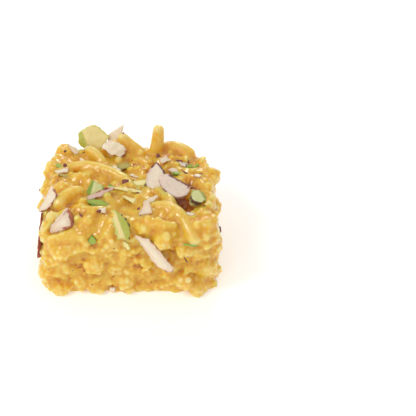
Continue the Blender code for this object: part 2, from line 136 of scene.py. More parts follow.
bpy.ops.object.select_all(action="DESELECT")
bpy.ops.mesh.primitive_plane_add(size=SHEET * MM)
floor = bpy.context.object
floor.name = "white_sheet"
paper, tree, shader = new_material("uncoated white paper", {
    "Base Color": linear("#FAF9F7"), "Roughness": 0.9, "Specular IOR Level": 0.2,
    "Emission Color": linear("#FFFFFF"), "Emission Strength": 0.3})
floor.data.materials.append(paper)


# The nuts: almonds and pistachios cut across in flakes and slivers, or chopped into chunks,
# and pressed into the top while it is soft. A kernel is a pointed oval with a thin skin round
# it, so a slice has pale flesh on its faces, skin on its rim, and bare flesh where it broke.

POINT = 0.22  # how much narrower a kernel is towards its point
NUT_VOXEL = 0.2
BARE_SIDE = 0.4  # the share of a nut's thickness that stands clear of the mass
AIR = 5.0  # how far in front of a nut the mass stays away
AIR_FIT = 0.93  # how wide that air is at the nut, as a share of the nut's width
AIR_SPREAD = 0.1  # how much wider it gets for each millimetre
RAGGED = 0.4  # how far a broken side moves in and out
WORN = 3  # the rounds of smoothing that wear a nut's edges
RIND = 0.35  # how deep the rim's colour goes, as a share of the width
FACET_FADE = 0.5  # over which a facet takes on its colour
FACE_WAVES = ((0.14, 1.7), (0.05, 0.6))  # of every face: how deep, and how far apart
PEELED = 0.9  # across the patches where skin has come off
ARC_FADE = 8  # the degrees over which an arc of skin ends
SKIN_FADE = 0.12  # over which it thins out inwards
laid = []  # each nut's place: the middle of its face, the way it looks, and its reach
air_blocks = []  # the air in front of each nut, which the mass leaves open


def facing(lean, heading):
    """Turns a face that looks up until it looks towards the heading, leaning by lean."""
    turn = Matrix.Rotation(math.radians(heading + 90), 4, "Z")
    return turn @ Matrix.Rotation(math.radians(lean), 4, "X")


@contextmanager
def editing():
    """Edit mode, for as long as its block lasts."""
    bpy.ops.object.mode_set(mode="EDIT")
    yield
    bpy.ops.object.mode_set(mode="OBJECT")


def apply_all(piece):
    """Makes the piece's modifiers part of its mesh."""
    bpy.context.view_layer.objects.active = piece
    for step in list(piece.modifiers):
        bpy.ops.object.modifier_apply(modifier=step.name)


def remesh(piece, voxel):
    """Gives the piece one closed skin of even faces."""
    skin = piece.modifiers.new("one skin", "REMESH")
    skin.mode = "VOXEL"
    skin.voxel_size = voxel * MM
    apply_all(piece)


def soften(piece, rounds):
    """Rounds the piece's edges off."""
    worn = piece.modifiers.new("soft edges", "SMOOTH")
    worn.factor = 0.5
    worn.iterations = rounds
    apply_all(piece)


def middle_of(piece):
    """The mean of the piece's points."""
    return sum((v.co for v in piece.data.vertices), Vector()) / len(piece.data.vertices)


def drop_specks(piece):
    """Removes the specks that a bite or a thin tip leaves loose."""
    with editing():
        bpy.ops.mesh.select_mode(type="VERT")
        bpy.ops.mesh.select_all(action="DESELECT")
    middle = middle_of(piece)
    min(piece.data.vertices, key=lambda v: (v.co - middle).length).select = True
    with editing():
        bpy.ops.mesh.select_linked()
        bpy.ops.mesh.select_all(action="INVERT")
        bpy.ops.mesh.delete(type="VERT")


def kernel_face(name, length, width, spin, breaks):
    """The flat outline of a slice: a pointed oval, its point spun, snapped off at its breaks."""
    bpy.ops.object.select_all(action="DESELECT")
    bpy.ops.mesh.primitive_circle_add(vertices=48, radius=0.5 * MM, fill_type="NGON")
    piece = bpy.context.object
    piece.name = name
    with editing():
        bpy.ops.transform.resize(value=(width, length, 1))
    for corner in piece.data.vertices:
        corner.co.x *= 1 - POINT * corner.co.y / (length * MM / 2)
    piece.data.transform(Matrix.Rotation(math.radians(spin), 4, "Z"))
    with editing():
        for turn, distance in breaks:
            out = Vector((math.cos(math.radians(turn)), math.sin(math.radians(turn)), 0))
            bpy.ops.mesh.select_all(action="SELECT")
            bpy.ops.mesh.bisect(plane_co=out * distance * MM, plane_no=out, clear_outer=True,
                                threshold=1e-7)
    return piece


def thicken(piece, height, taper):
    """Turns a flat outline into a slice that reaches this high, or deep where it is negative."""
    middle = middle_of(piece)
    with editing():
        bpy.ops.mesh.select_all(action="SELECT")
        bpy.ops.mesh.extrude_region_move(TRANSFORM_OT_translate={"value": (0, 0, height * MM)})
        bpy.ops.transform.resize(value=(taper, taper, 1), center_override=middle)
        bpy.ops.mesh.select_all(action="SELECT")
        bpy.ops.mesh.normals_make_consistent(inside=False)


def clear_front(nut):
    """A widening block of air in front of a nut, which starts inside the nut."""
    air = kernel_face("air", nut["length"], nut["width"], nut["spin"], nut["breaks"])
    air.data.transform(Matrix.Translation((0, 0, -BARE_SIDE * nut["thickness"] * MM))
                       @ Matrix.Diagonal((AIR_FIT, AIR_FIT, 1, 1)))
    clear = nut.get("clear", AIR)
    thicken(air, BARE_SIDE * nut["thickness"] + clear, 1 + AIR_SPREAD * clear)
    air.data.transform(Matrix.Translation(Vector(nut["centre"]) * MM)
                       @ facing(nut["lean"], nut["heading"]))
    air_blocks.append(air)


def direction(turn):
    """The unit step in the plane of a slice at this many degrees from its right."""
    return np.array((math.cos(math.radians(turn)), math.sin(math.radians(turn))))


def cut_out(piece, cutters):
    """Takes the cutters out of the piece in one go, and removes them."""
    hollows = bpy.data.collections.new("hollows")
    bpy.context.scene.collection.children.link(hollows)
    for cutter in cutters:
        hollows.objects.link(cutter)
    cut = piece.modifiers.new("hollows", "BOOLEAN")
    cut.operation = "DIFFERENCE"
    cut.solver = "MANIFOLD"
    cut.operand_type = "COLLECTION"
    cut.collection = hollows
    apply_all(piece)
    for cutter in cutters:
        bpy.data.objects.remove(cutter)
    bpy.data.collections.remove(hollows)


def bite(piece, place, radius):
    """Takes a round bite out of a slice."""
    bpy.ops.object.select_all(action="DESELECT")
    bpy.ops.mesh.primitive_cylinder_add(vertices=24, radius=radius * MM, depth=20 * MM,
                                        location=Vector((*place, 0)) * MM)
    cut_out(piece, [bpy.context.object])


def inset(points, outline):
    """How far inside the outline each point lies, in the plane of the slice."""
    starts, ends = outline, np.roll(outline, -1, axis=0)
    sides = ends - starts
    share = ((points[:, None] - starts) * sides).sum(2) / (sides**2).sum(1)
    nearest = starts + np.clip(share, 0, 1)[:, :, None] * sides
    return np.linalg.norm(points[:, None] - nearest, axis=2).min(1)


def waves(point, table, shift=Vector((0, 0, 0))):
    """The height of uneven waves at a point: for each row, how deep and how far apart."""
    return sum(deep * noise.noise(point / apart + shift) for deep, apart in table)


def skin_left(nut, points, outline, deep, shift):
    """How much skin each point of a slice still has: arcs of it along the rim, partly peeled."""
    peeled = np.array([noise.noise(Vector(point) / PEELED + shift) for point in points])
    skin = np.zeros(len(points))
    for turn, spread, wide in nut.get("skins", ()):
        # The angles are taken from a point a little away from the arc, so that it runs further
        middle = outline.mean(0) + direction(turn + 180) * nut["width"] * 0.15
        away = points[:, :2] - middle
        angle = np.degrees(np.arctan2(away[:, 1], away[:, 0])) - turn
        off = np.abs((angle + 180) % 360 - 180)
        here = np.clip((spread - off) / ARC_FADE + peeled, 0, 1)
        inner = np.clip((wide + 0.25 * peeled - deep) / SKIN_FADE, 0, 1)
        skin = np.maximum(skin, here * inner)
    return skin


def store(mesh, name, values):
    """Keeps a value for each point of a mesh, for its material."""
    mesh.attributes.new(name, "FLOAT", "POINT").data.foreach_set("value", values)


def carve(name, nut, voxel):
    """A slice that lies flat, with uneven cuts and facets, its flesh, rim and skin marked."""
    piece = kernel_face(name, nut["length"], nut["width"], nut["spin"], nut["breaks"])
    loop = piece.data.polygons[0].vertices
    outline = np.array([piece.data.vertices[i].co.to_2d() / MM for i in loop])
    thicken(piece, -nut["thickness"], nut["taper"])
    for place, radius in nut.get("bites", ()):
        bite(piece, place, radius)
    remesh(piece, voxel)
    drop_specks(piece)
    soften(piece, nut.get("worn", WORN))

    # Its own sizes shift the pattern, so that no two nuts are alike
    shift = Vector((nut["length"] * 7.3, nut["width"] * 5.1, nut["spin"] * 0.37))
    points = np.array([vertex.co / MM for vertex in piece.data.vertices])
    normals = np.array([normal.vector for normal in piece.data.vertex_normals])
    deep = inset(points[:, :2], outline)
    rim = np.clip(1 - deep / nut.get("rind", nut["width"] * RIND), 0, 1)
    moved = np.zeros_like(points)
    for turn, distance, slope, tint in nut.get("facets", ()):
        beyond = np.maximum(points[:, :2] @ direction(turn) - distance, 0)
        moved[:, 2] -= beyond * slope * np.clip(1 + points[:, 2] / nut["thickness"], 0, 1)
        rim = np.maximum(rim, tint * np.clip(beyond / nut.get("fade", FACET_FADE), 0, 1))
    walls = np.abs(normals[:, :2]).max(1)
    ragged = nut.get("ragged", RAGGED)
    for index, point in enumerate(points):
        point = Vector(point)
        depth = waves(point, FACE_WAVES, shift)
        depth += walls[index] * ragged * noise.noise(point.to_2d().to_3d() + shift)
        moved[index] += normals[index] * depth
    piece.data.vertices.foreach_set("co", ((points + moved) * MM).ravel())

    upright = points @ np.array(Matrix.Rotation(math.radians(nut["spin"]), 3, "Z"))
    piece.data.attributes.new("grain", "FLOAT_VECTOR", "POINT").data.foreach_set(
        "vector", upright.ravel())
    store(piece.data, "skin", skin_left(nut, points, outline, deep, shift))
    store(piece.data, "rim", rim)
    piece.data.shade_smooth()
    return piece


def add_node(tree, kind, settings=(), links=(), values=(), stops=()):
    """Adds a node: its settings by name, its inputs' links and values, and a ramp's colours."""
    made = tree.nodes.new("ShaderNode" + kind)
    for key, value in dict(settings).items():
        setattr(made, key, value)
    for key, source in dict(links).items():
        tree.links.new(source, made.inputs[key])
    for key, value in dict(values).items():
        made.inputs[key].default_value = value
    for index, (place, code) in enumerate(stops):
        ramp = made.color_ramp.elements
        stop = ramp[index] if index < len(ramp) else ramp.new(place)
        stop.position = place
        stop.color = linear(code)
    return made


FIBRE = 0.3125  # between the lines in the flesh: 0.1 in a real kernel, drawn coarser to show
FIBRE_SHAPE = 0.18  # a line's width for its length
BLOTCH = 1.43  # across the uneven colour of flesh and skin, as on a real kernel
FIBRE_DEPTH = 0.3
NUT_LIGHT_DEPTH = 0.7  # how far light seeps in
NUT_OIL_IOR = 1.45


def flesh_and_skin(name, flesh, rim, skin, roughness, seep):
    """Nut flesh under what is left of its skin.

    Flesh is dense and oily: cut with a blade it looks waxy, between matt and gloss, and light
    seeps under it. It has faint lines along the kernel and is deeper in colour at its rim. Skin
    is papery and blotched. A trace of syrup gives both a thin, dull shine.
    """
    made, tree, shader = new_material(name, {
        "Roughness": roughness, "IOR": NUT_OIL_IOR, "Coat Weight": 0.25, "Coat Roughness": 0.2,
        "Subsurface Weight": seep, "Subsurface Radius": (1.0, 0.8, 0.6),
        "Subsurface Scale": NUT_LIGHT_DEPTH * MM})
    grain = add_node(tree, "Attribute", {"attribute_name": "grain"})
    along = add_node(tree, "Mapping", links={"Vector": grain.outputs["Vector"]},
                     values={"Scale": (1.0, FIBRE_SHAPE, 1.0)})
    lines = add_node(tree, "TexNoise", values={"Scale": 1 / FIBRE, "Detail": 3.0},
                     links={"Vector": along.outputs["Vector"]})
    blotches = add_node(tree, "TexNoise", values={"Scale": 1 / BLOTCH, "Detail": 4.0},
                        links={"Vector": grain.outputs["Vector"]})
    marked = add_node(tree, "Attribute", {"attribute_name": "rim"})
    share = add_node(tree, "Math", {"operation": "MULTIPLY_ADD"}, values={1: 0.5, 2: -0.25},
                     links={0: blotches.outputs["Fac"]})
    share = add_node(tree, "Math", {"operation": "ADD"},
                     links={0: share.outputs[0], 1: marked.outputs["Fac"]})
    bare = add_node(tree, "ValToRGB", links={"Fac": share.outputs[0]},
                    stops=((0.5, flesh), (1.0, rim)))
    faint = add_node(tree, "MapRange", links={"Value": lines.outputs["Fac"]},
                     values={"From Min": 0.3, "From Max": 0.7, "To Min": 0.93, "To Max": 1.03})
    lined = add_node(tree, "Mix", {"data_type": "RGBA", "blend_type": "MULTIPLY"},
                     values={"Factor": 1.0},
                     links={"A": bare.outputs["Color"], "B": faint.outputs["Result"]})
    papery = add_node(tree, "ValToRGB", links={"Fac": blotches.outputs["Fac"]},
                      stops=((0.35, skin[0]), (0.6, skin[1])))
    covered = add_node(tree, "Attribute", {"attribute_name": "skin"})
    colour = add_node(tree, "Mix", {"data_type": "RGBA"},
                      links={"Factor": covered.outputs["Fac"], "A": lined.outputs["Result"],
                             "B": papery.outputs["Color"]})
    tree.links.new(colour.outputs["Result"], shader.inputs["Base Color"])
    bump = add_node(tree, "Bump", values={"Strength": 0.3, "Distance": FIBRE_DEPTH * MM},
                    links={"Height": lines.outputs["Fac"]})
    tree.links.new(bump.outputs["Normal"], shader.inputs["Normal"])
    return made


def lay_nuts(table, substance):
    """Makes each nut of a table and presses it into its place."""
    for name, nut in table.items():
        piece = carve(name + "_cut", nut, NUT_VOXEL)
        turned = facing(nut["lean"], nut["heading"])
        piece.data.transform(Matrix.Translation(Vector(nut["centre"]) * MM) @ turned)
        piece.data.materials.clear()
        piece.data.materials.append(substance)
        reach = nut["length"] / 2 if "clear" not in nut else 0
        laid.append((Vector(nut["centre"]), turned.to_3x3() @ Vector((0, 0, 1)), reach))
        clear_front(nut)
        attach(piece, "root")
        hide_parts(name)


# A nut's face has a length and a width, with the kernel's point spun from its top. Angles on it
# run from its right: breaks are (angle, how far out), skins (angle, half spread, width), facets
# (angle, how far out, slope, share of the rim's colour) and bites (place, radius). The centre is
# the face's middle, and the face leans from flat towards its heading. The other keys stand for
# this nut's own RIND, RAGGED, WORN, FACET_FADE and AIR, where it has one.

ALMONDS = {
    "almond_flake_back": dict(
        length=10.5, width=8.0, spin=180,
        breaks=((-169, 3.1), (128, 1.8), (-10, 0.9), (-42, 0.9)),
        thickness=1.2, taper=0.9, centre=(-4.5, 19.5, 26.0), lean=58, heading=-100,
        ragged=0.15, rind=0.7, clear=0.5),
    "almond_chunk_back": dict(
        length=8.4, width=6.2, spin=-80,
        breaks=((127, 3.1), (0, 3.5), (43, 2.8), (82, 2.5), (-90, 2.7), (-126, 1.7)),
        thickness=2.8, taper=0.78, centre=(-5.4, 13.2, 25.0), lean=54, heading=-95,
        skins=((-12, 24, 0.5),), bites=(((0.3, -2.9), 1.5),), ragged=0.65,
        facets=((-60, 0.9, 0.3, 0.2), (150, 1.2, 0.3, 0.0)), rind=0.8, clear=2.0),
    "almond_flake_left": dict(
        length=9.4, width=5.2, spin=4, breaks=((171, 1.5), (-54, 2.2), (-20, 1.4), (55, 3.3)),
        thickness=1.3, taper=0.9, centre=(-22.6, -9.4, 23.4), lean=45, heading=-120,
        skins=((40, 45, 0.4), (-95, 30, 0.2))),
    "almond_chunk_corner": dict(
        length=16.0, width=12.0, spin=20,
        breaks=((148, 1.7), (170, 3.0), (-63, 2.2), (0, 3.6), (24, 3.5), (54, 4.1)),
        thickness=3.6, taper=0.8, centre=(-18.7, -16.6, 21.3), lean=60, heading=-108,
        skins=((18, 46, 0.9), (-76, 30, 0.22)), ragged=0.6, bites=(((-3.0, 1.9), 1.5),),
        facets=((-120, 0.6, 0.25, 0.3), (30, 1.5, 0.5, 0.2))),
    "almond_sliver_front": dict(
        length=15.4, width=7.0, spin=36,
        breaks=((37, 1.9), (210, 1.7), (262, 4.7), (72, 4.1)),
        thickness=2.2, taper=0.75, centre=(6.8, -22.4, 14.9), lean=78, heading=-90,
        skins=((-72, 26, 0.22),), facets=((216, 0.1, 0.9, 0.6),), ragged=0.5, clear=2.5),
    "almond_flake_right": dict(
        length=10.6, width=6.8, spin=15, breaks=((200, 2.8),),
        thickness=1.4, taper=0.92, centre=(24.5, -3.4, 12.6), lean=84, heading=5,
        skins=((30, 80, 0.3),)),
    "almond_sliver_rear": dict(
        length=11.0, width=3.4, spin=70, breaks=((160, 1.2),),
        thickness=1.6, taper=0.85, centre=(2.0, 21.4, 12.4), lean=84, heading=88,
        skins=((-20, 60, 0.25),)),
}

# Almond cut with a blade: creamy white and half matt, with red-brown to tan skin
sliced = flesh_and_skin("sliced almond", flesh="#F5E8D0", rim="#EAD0BA",
                        skin=("#884030", "#C67A50"), roughness=0.42, seep=0.6)
lay_nuts(ALMONDS, sliced)

FLAKES = {
    "almond_flake_upright": dict(
        length=10.0, width=5.5, spin=-8, breaks=((3, 2.4), (38, 2.8)),
        thickness=1.6, taper=0.92, centre=(7.2, 1.2, 24.5), lean=25, heading=-92,
        skins=((50, 50, 0.55),), ragged=0.15),
    "almond_flake_lying": dict(
        length=10.0, width=6.4, spin=52, breaks=((55, 2.2), (-130, 3.2)),
        thickness=1.5, taper=0.92, centre=(12.1, -3.9, 25.2), lean=20, heading=-88,
        skins=((44, 46, 0.6), (190, 36, 0.16)), ragged=0.15, facets=((0, -9, 0, 0.75),)),
}

# Almond flaked with its skin on: so thin that the pink of the skin shows through, and a dark rim
flaked = flesh_and_skin("flaked almond", flesh="#F4E6D0", rim="#DCC2B8",
                        skin=("#58302E", "#8C4E40"), roughness=0.4, seep=0.6)
lay_nuts(FLAKES, flaked)

ALMOND_SKINS = {
    "almond_slice_side": dict(
        length=13.4, width=5.6, spin=25, breaks=(),
        thickness=1.0, taper=0.92, centre=(-25.4, -12.2, 13.6), lean=84, heading=178,
        skins=((0, 200, 9),)),
    "almond_sliver_middle": dict(
        length=9.0, width=1.6, spin=-79, breaks=(),
        thickness=1.2, taper=0.85, centre=(-8.1, -7.4, 24.8), lean=40, heading=-70,
        skins=((90, 75, 0.5),), ragged=0.6),
}

# Almond shaved from the kernel's side: red-brown, matt skin all over or along an edge
shaved = flesh_and_skin("almond with its skin", flesh="#E4C4B4", rim="#C99C8C",
                        skin=("#7E2E22", "#A84E34"), roughness=0.5, seep=0.4)
lay_nuts(ALMOND_SKINS, shaved)

PALE_PISTACHIOS = {
    "pistachio_chunk_back": dict(
        length=11.4, width=8.4, spin=-84,
        breaks=((183, 4.3), (125, 3.8), (49, 4.0), (-36, 3.9), (-107, 3.9)),
        thickness=3.4, taper=0.74, centre=(-12.0, 17.5, 26.0), lean=68, heading=-92,
        facets=((200, 1.0, 0.55, 1.0), (55, 3.0, 0.4, 0.5)), fade=1.4, ragged=0.35, rind=1.3,
        worn=40, clear=0.5),
    "pistachio_sliver_front": dict(
        length=9.0, width=5.4, spin=20, breaks=((-166, 1.2), (-90, 3.9)),
        thickness=1.6, taper=0.85, centre=(-2.7, -19.7, 22.9), lean=50, heading=-85,
        skins=((15, 60, 0.2),), facets=((17, 0.3, 0.4, 1.0),), ragged=0.8,
        bites=(((-2.3, 0.0), 1.0), ((-1.6, 3.0), 0.8))),
}

# Pistachio cut near the kernel's middle: pale yellow and waxy, greener towards its skin
pale = flesh_and_skin("pale pistachio", flesh="#F6E6A4", rim="#C6CA5C",
                      skin=("#54442A", "#7A6638"), roughness=0.36, seep=0.6)
lay_nuts(PALE_PISTACHIOS, pale)

PISTACHIOS = {
    "pistachio_chunk_middle": dict(
        length=7.8, width=5.2, spin=80, breaks=((-72, 1.6), (0, 2.6), (64, 1.7), (153, 1.9)),
        thickness=2.4, taper=0.8, centre=(-9.9, -4.6, 24.6), lean=44, heading=-90,
        facets=((165, 0.3, 0.6, 1.0), (10, 1.7, 0.5, 0.9)), rind=0.9),
    "pistachio_chunk_right": dict(
        length=6.8, width=5.4, spin=70, breaks=((40, 2.3), (-100, 1.9)),
        thickness=2.6, taper=0.78, centre=(19.6, -7.6, 24.0), lean=22, heading=-20,
        skins=((200, 60, 0.3),), facets=((-40, 0.4, 0.5, 0.9),), rind=0.9),
}

# Pistachio cut nearer its skin: pale green faces, leaf green cuts and dull purple-brown skin
green = flesh_and_skin("green pistachio", flesh="#D8DA98", rim="#8CA83C",
                       skin=("#523434", "#7E5444"), roughness=0.36, seep=0.5)
lay_nuts(PISTACHIOS, green)

OUTER_PISTACHIOS = {
    "pistachio_sliver_middle": dict(
        length=6.4, width=2.3, spin=-103, breaks=((92, 1.2),),
        thickness=1.5, taper=0.85, centre=(-8.8, -10.1, 23.4), lean=32, heading=-90,
        skins=((-120, 40, 0.15),), facets=((-103, 0.1, 0.5, 1.0),), rind=0.6),
}

# Pistachio from just under the skin: leaf green all through
leafy = flesh_and_skin("outer pistachio", flesh="#A4BC4C", rim="#6C902C",
                       skin=("#523434", "#7E5444"), roughness=0.36, seep=0.5)
lay_nuts(OUTER_PISTACHIOS, leafy)


# The mass: gram flour strands about 3 mm thick, fried, then stirred into milk and sugar that
# is cooked to a fudge, pressed into a tray and cut. The knife leaves the ends of the strands
# as grains in the sides. On top the strands keep their shape under a wet, glossy syrup.

WIDTH, DEPTH, HEIGHT = 48.2, 39.8, 20.8
SKEW = 3.6  # how far the right side turns in towards the back
CORNER_RADII = {(-1, -1): 5.0, (1, -1): 5.5, (-1, 1): 7.5, (1, 1): 9.0}  # by the side in x and y
TOP_RADIUS = 2.4
FOOT = 2.0  # how far the block runs on below the floor, where it is cut flat at the end

# The strands that lie on top: a start, the point that they bend towards, an end and a radius
STRANDS = (
    ((-3.0, 17.2, 26.6), (0.2, 16.8, 22.6), (4.2, 15.2, 21.2), 1.8),
    ((5.8, 15.4, 20.4), (7.3, 16.4, 25.6), (7.4, 17.0, 29.3), 2.0),
    ((-20.0, 6.8, 22.0), (-13.5, 11.0, 23.8), (-1.9, 2.9, 22.2), 1.7),
    ((-14.4, -4.6, 23.3), (-18.8, -6.0, 24.4), (-21.6, -15.0, 21.0), 1.95),
    ((7.2, -10.4, 21.8), (13.6, -11.0, 24.5), (18.0, -21.0, 18.9), 2.1),
    ((7.4, -2.9, 22.2), (10.6, -6.0, 23.4), (12.4, -11.4, 21.9), 1.7),
    ((7.8, 17.4, 22.0), (11.5, 19.4, 23.2), (16.4, 16.4, 21.6), 2.0),
    ((-12.8, 14.6, 24.2), (-10.6, 13.4, 24.0), (-8.2, 10.6, 22.0), 1.6),
)
# Others, sunk deeper
CROWD = (
    ((15.2, 3.6, 22.0), (20.2, 1.6, 23.0), (22.2, -6.4, 21.6), 1.6),
    ((3.4, -16.6, 22.0), (7.8, -19.4, 23.0), (11.6, -18.6, 21.6), 1.6),
    ((-15.0, -11.0, 22.2), (-10.0, -13.6, 23.0), (-5.6, -11.6, 22.0), 1.5),
    ((-16.4, 3.2, 22.2), (-12.6, 0.6, 23.2), (-11.8, 6.6, 22.2), 1.35),
    ((17.6, -14.6, 21.4), (21.6, -12.0, 22.8), (22.6, -17.2, 20.4), 1.6),
)
# Lumps of broken strands: each middle and radius
LUMPS = (
    ((-20.2, 18.6, 20.8), 2.7), ((-23.6, -7.6, 21.0), 2.2), ((-23.0, 9.6, 20.6), 2.4),
    ((15.0, -21.0, 15.4), 2.5), ((14.8, -21.1, 4.6), 2.6), ((9.2, -21.2, 19.0), 2.6),
    ((20.6, -18.6, 7.6), 3.0), ((23.2, -15.4, 12.8), 2.6), ((-22.8, -17.8, 5.4), 3.2),
    ((-18.6, -19.6, 13.6), 2.6), ((-9.6, -19.8, 9.4), 3.0), ((-1.4, -19.6, 3.8), 2.9),
    ((-14.0, -19.4, 3.2), 2.8), ((3.8, -19.8, 9.8), 2.7), ((22.6, 6.4, 20.4), 2.8),
    ((23.0, 8.0, 8.4), 3.0), ((-22.8, 6.6, 9.6), 3.0), ((-8.0, 19.4, 7.4), 3.0),
    ((10.6, 19.2, 13.6), 2.8), ((-8.4, 16.0, 22.0), 2.4), ((-1.6, 14.4, 21.8), 2.3),
    ((1.6, 14.6, 21.6), 2.0), ((-12.6, 19.4, 21.6), 2.4), ((-5.6, -8.2, 22.0), 2.2),
    ((-19.0, -20.8, 1.6), 2.5), ((18.2, -21.0, 1.6), 2.5),
    ((-15.6, 2.6, 22.0), 2.3), ((-12.4, 7.6, 22.2), 1.9), ((-19.8, -1.6, 21.6), 2.4),
)
# Gaps where the strands don't meet, likewise; the deep one is at the right, beside the flakes
DEEP_GAP = (((13.6, -7.4, 23.0), 2.4), ((15.0, -9.0, 21.4), 2.6), ((16.8, -11.2, 20.4), 2.1))
GAPS = DEEP_GAP + (
    ((2.6, -21.2, 9.6), 1.5), ((11.2, -21.6, 14.4), 1.4), ((-2.2, 5.4, 24.6), 2.2),
    ((4.4, 6.6, 24.6), 2.4), ((1.2, 9.4, 24.4), 1.8), ((-16.6, -11.4, 24.4), 1.7),
    ((17.4, 0.6, 24.6), 1.8), ((18.6, -22.0, 11.4), 1.5), ((-14.6, -21.8, 8.6), 1.4),
    ((-21.0, 1.8, 24.0), 1.5), ((10.4, 13.0, 24.4), 1.8),
)
# Short strands at chance places, one to each step across and back of the top, or round and up
# the sides: the steps, and the range that each size is drawn from
TOP_STRANDS = dict(steps=(11, 9), length=(3, 9), radius=(1.2, 1.9), lift=(-0.7, 0.8),
                   slope=(-0.2, 0.2))
SIDE_STRANDS = dict(steps=(50, 6), length=(0.8, 4.5), radius=(0.9, 1.5), sunk=(-0.45, 0.5),
                    slope=(-0.35, 0.35))
BEND = 0.22  # how far a short strand leaves the straight, as a share of its length
EDGE = 1  # left free of short strands
# Round ends of strands, tried at chance places of the top, all about as high
ROUND_ENDS = dict(tries=130, across=(-23, 23), back=(-19, 19), radius=(1.2, 2.4),
                  lift=(-0.3, 0.5), top=1.7)
BACKING = dict(depth=3.0, radius=2.3, across=23.4, back=19.0)  # the lump that a nut sits in
BEAD_STEP = 0.45  # between the beads of a strand, as a share of their radius
NUT_COVER = 0.8  # the share of a nut's reach that strands stay off
AROUND_OFF = 9  # how far outside the block's rectangle its sides are looked at from
FAR = 60  # well outside the piece
MASS_VOXEL, GRAIN_VOXEL = 0.5, 0.35
chance = random.Random(41)

bpy.ops.object.select_all(action="DESELECT")
bpy.ops.mesh.primitive_cube_add(size=MM, location=(0, 0, (HEIGHT - FOOT) / 2 * MM),
                                scale=(WIDTH, DEPTH, HEIGHT + FOOT))
mass = bpy.context.object
mass.name = "bound_strands"
bpy.ops.object.transform_apply(location=True, rotation=True, scale=True)
for corner in mass.data.vertices:
    if corner.co.x > 0 and corner.co.y > 0:
        corner.co.x -= SKEW * MM


def round_edges(piece, wanted, radius, segments):
    """Rounds off the edges that the test wants."""
    with editing():
        bpy.ops.mesh.select_mode(type="EDGE")
        bpy.ops.mesh.select_all(action="DESELECT")
    points = piece.data.vertices
    for edge in piece.data.edges:
        edge.select = wanted(*(points[i].co / MM for i in edge.vertices))
    with editing():
        bpy.ops.mesh.bevel(offset=radius * MM, segments=segments, affect="EDGES")


for (right, rear), radius in CORNER_RADII.items():
    round_edges(mass, lambda a, b: abs(a.z - b.z) > 1 and min(a.x * right, b.x * right) > 0
                and min(a.y * rear, b.y * rear) > 0, radius, 5)
round_edges(mass, lambda a, b: min(a.z, b.z) > HEIGHT - 0.01, TOP_RADIUS, 3)


def surface_of(piece):
    """The piece's surface as it is now, for rays to meet."""
    return BVHTree.FromObject(piece, bpy.context.evaluated_depsgraph_get())


block = surface_of(mass)


def strand_beads(start, middle, end, radius):
    """Beads on a curve that bends towards its middle point, a tenth thinner at its ends."""
    start, middle, end = Vector(start), Vector(middle), Vector(end)
    length = (middle - start).length + (end - middle).length
    steps = max(2, round(length / (radius * BEAD_STEP)))
    for i in range(steps + 1):
        t = i / steps
        point = start * (1 - t) ** 2 + middle * 2 * t * (1 - t) + end * t**2
        yield point, radius * (0.9 + 0.1 * math.sin(math.pi * t))


def hides_nut(point, radius):
    """Whether a bead would lie on the face of a nut."""
    for centre, out, reach in laid:
        above = (point - centre).dot(out)
        across = (point - centre - out * above).length
        if -radius < above < AIR and across < NUT_COVER * reach + radius:
            return True
    return False


def over_block(point):
    """Whether a point has the block's top, and not the edge of it, straight below."""
    hit = block.ray_cast(Vector((point.x, point.y, FAR)) * MM, Vector((0, 0, -1)))[0]
    return hit is not None and hit.z > (HEIGHT - 0.6 * TOP_RADIUS) * MM


def around(share):
    """The point of the rectangle round the block that is this share of the way round it."""
    walk = share * 2 * (WIDTH + DEPTH)
    if walk < WIDTH:
        return Vector((walk - WIDTH / 2, -DEPTH / 2, 0))
    walk -= WIDTH
    if walk < DEPTH:
        return Vector((WIDTH / 2, walk - DEPTH / 2, 0))
    walk -= DEPTH
    if walk < WIDTH:
        return Vector((WIDTH / 2 - walk, DEPTH / 2, 0))
    return Vector((-WIDTH / 2, DEPTH / 2 - (walk - WIDTH), 0))


def bent(middle, along, length):
    """Two ends and a middle that is off the line between them."""
    off = Vector((chance.uniform(-1, 1), chance.uniform(-1, 1), chance.uniform(-1, 1)))
    half = along.normalized() * length / 2
    return middle - half, middle + off * length * BEND, middle + half


def within_step(index, steps):
    """A chance place in one of the equal steps from 0 to 1."""
    return (index + chance.uniform(0.1, 0.9)) / steps


beads = []
columns, rows = TOP_STRANDS["steps"]
for column, row in np.ndindex(columns, rows):
    x = (within_step(column, columns) - 0.5) * (WIDTH - 2 * EDGE)
    y = (within_step(row, rows) - 0.5) * (DEPTH - 2 * EDGE)
    turn = chance.uniform(0, math.pi)
    along = Vector((math.cos(turn), math.sin(turn), chance.uniform(*TOP_STRANDS["slope"])))
    length = chance.uniform(*TOP_STRANDS["length"])
    middle = Vector((x, y, HEIGHT + chance.uniform(*TOP_STRANDS["lift"])))
    radius = chance.uniform(*TOP_STRANDS["radius"])
    beads += [(point, size) for point, size in strand_beads(*bent(middle, along, length), radius)
              if not hides_nut(point, size) and over_block(point)]
columns, rows = SIDE_STRANDS["steps"]
for column, row in np.ndindex(columns, rows):
    start = around(within_step(column, columns))
    inwards = -start.normalized()
    start.z = within_step(row, rows) * (HEIGHT - EDGE)
    point, normal = block.ray_cast((start - inwards * AROUND_OFF) * MM, inwards)[:2]
    middle = point / MM - normal * chance.uniform(*SIDE_STRANDS["sunk"])
    turn = chance.uniform(0, math.pi)
    sideways = Vector((-normal.y, normal.x, 0))
    along = sideways * math.cos(turn) + Vector((0, 0, 1)) * math.sin(turn)
    along += normal * chance.uniform(*SIDE_STRANDS["slope"])
    ends = bent(middle, along, chance.uniform(*SIDE_STRANDS["length"]))
    radius = chance.uniform(*SIDE_STRANDS["radius"])
    beads += [(point, size) for point, size in strand_beads(*ends, radius)
              if not hides_nut(point, size)]
